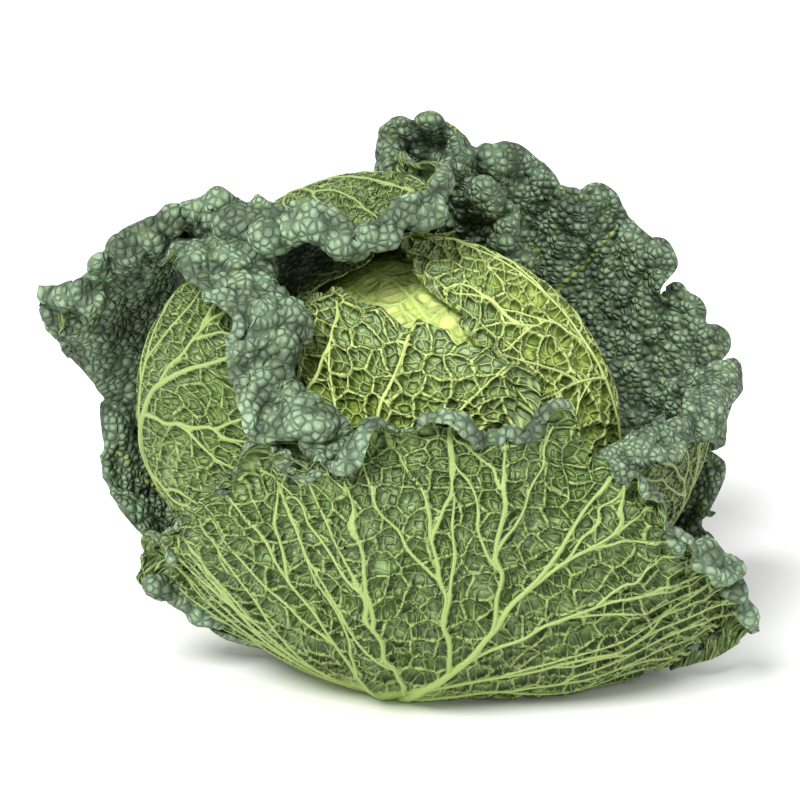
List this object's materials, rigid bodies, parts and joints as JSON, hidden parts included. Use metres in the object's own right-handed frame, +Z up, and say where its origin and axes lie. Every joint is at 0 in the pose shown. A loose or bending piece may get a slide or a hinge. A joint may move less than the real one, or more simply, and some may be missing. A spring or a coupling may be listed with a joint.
{
  "type": "savoy cabbage",
  "caption": "Savoy cabbage with a tight yellow-green netted head, loose crinkled dark outer leaves with rolled rims, and a cut stalk that it stands on.",
  "frame": {"origin": "centre of the stalk's flat cut foot, on the surface that the cabbage stands on", "axes": "+X to the right of the picture's view, +Y away from the viewer, +Z up; the head leans to the front, -Y"},
  "size_m": [0.3131, 0.2821, 0.2318],
  "materials": {
    "outer_leaf": "matte grey-green leaf with a whitish waxy bloom and raised light-green veins",
    "dark_leaf": "matte blue-green blistered leaf with a grey bloom and dark creases",
    "head_leaf": "satin yellow-green leaf with a raised pale net of veins",
    "pale_leaf": "satin pale yellow-green inner leaf",
    "stalk": "matte pale green stalk with a drying cut face"
  },
  "bodies": {
    "root": {"stalk": "stalk", "heart": "pale_leaf", "front_leaf": "outer_leaf", "left_leaf": "outer_leaf", "hood_leaf": "outer_leaf", "back_right_leaf": "dark_leaf", "right_leaf": "outer_leaf", "crown_leaf": "dark_leaf", "far_left_leaf": "dark_leaf", "low_right_leaf": "dark_leaf", "low_back_leaf": "outer_leaf", "head_leaf_front": "head_leaf", "head_leaf_right": "head_leaf", "head_leaf_left": "pale_leaf", "head_leaf_low_right": "head_leaf", "head_leaf_back": "head_leaf"}
  },
  "joints": []
}
